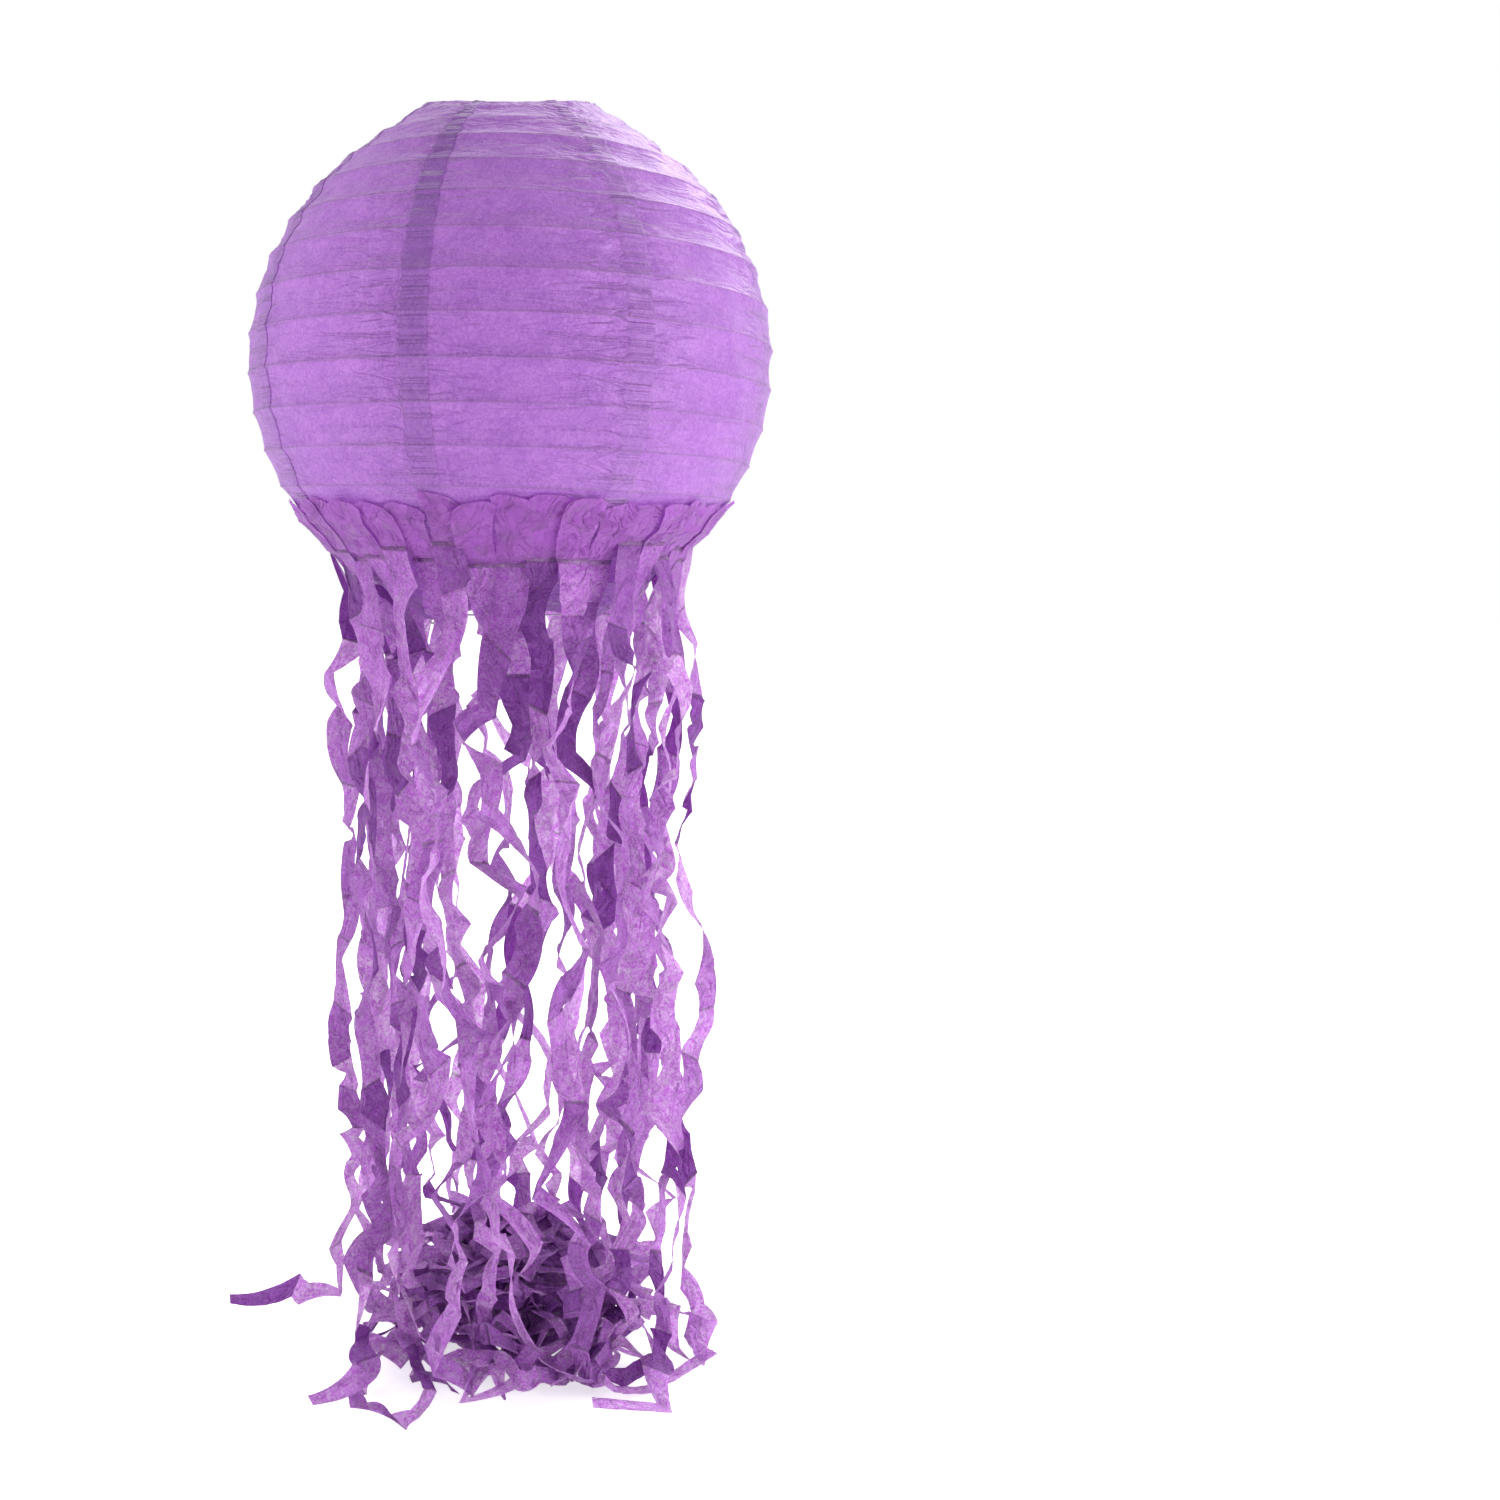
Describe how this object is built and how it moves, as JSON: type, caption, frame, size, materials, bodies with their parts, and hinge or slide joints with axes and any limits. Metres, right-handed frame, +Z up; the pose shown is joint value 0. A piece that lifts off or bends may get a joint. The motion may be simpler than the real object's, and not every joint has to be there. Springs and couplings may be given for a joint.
{
  "type": "paper lantern",
  "caption": "Round tissue-paper lantern on a spiral wire rib, held open by a wire expander, with long tissue streamers glued round it whose ends lie in a loose heap.",
  "frame": {"origin": "the hanging point: the underside of the kink in the middle of the expander's top bar", "axes": "+Z up along the globe's axis and the pull of the hook; the front faces -Y; +X is to the right and lies along the top bar"},
  "size_m": [0.3288, 0.2989, 0.7301],
  "materials": {
    "globe_paper": "matte",
    "streamer_paper": "matte",
    "steel_wire": "satin"
  },
  "bodies": {
    "root": {"gore_1": "globe_paper", "gore_2": "globe_paper", "gore_3": "globe_paper", "gore_4": "globe_paper", "gore_5": "globe_paper", "gore_6": "globe_paper", "gore_7": "globe_paper", "gore_8": "globe_paper", "rib_spiral": "steel_wire", "top_hoop": "steel_wire", "bottom_hoop": "steel_wire", "eye_top_left": "steel_wire", "eye_top_right": "steel_wire", "eye_bottom_left": "steel_wire", "eye_bottom_right": "steel_wire", "expander": "steel_wire", "cord_holder": "steel_wire", "streamer_01": "streamer_paper", "streamer_02": "streamer_paper", "streamer_03": "streamer_paper", "streamer_04": "streamer_paper", "streamer_05": "streamer_paper", "streamer_06": "streamer_paper", "streamer_07": "streamer_paper", "streamer_08": "streamer_paper", "streamer_09": "streamer_paper", "streamer_10": "streamer_paper", "streamer_11": "streamer_paper", "streamer_12": "streamer_paper", "streamer_13": "streamer_paper", "streamer_14": "streamer_paper", "streamer_15": "streamer_paper", "streamer_16": "streamer_paper", "streamer_17": "streamer_paper", "streamer_18": "streamer_paper", "streamer_19": "streamer_paper", "streamer_20": "streamer_paper", "streamer_21": "streamer_paper", "streamer_22": "streamer_paper", "streamer_23": "streamer_paper", "streamer_24": "streamer_paper", "streamer_25": "streamer_paper", "streamer_26": "streamer_paper", "streamer_27": "streamer_paper", "streamer_28": "streamer_paper", "streamer_29": "streamer_paper", "streamer_30": "streamer_paper", "streamer_31": "streamer_paper", "streamer_32": "streamer_paper", "streamer_33": "streamer_paper", "streamer_34": "streamer_paper", "streamer_35": "streamer_paper", "streamer_36": "streamer_paper", "streamer_37": "streamer_paper", "streamer_38": "streamer_paper", "streamer_39": "streamer_paper", "streamer_40": "streamer_paper"}
  },
  "joints": []
}
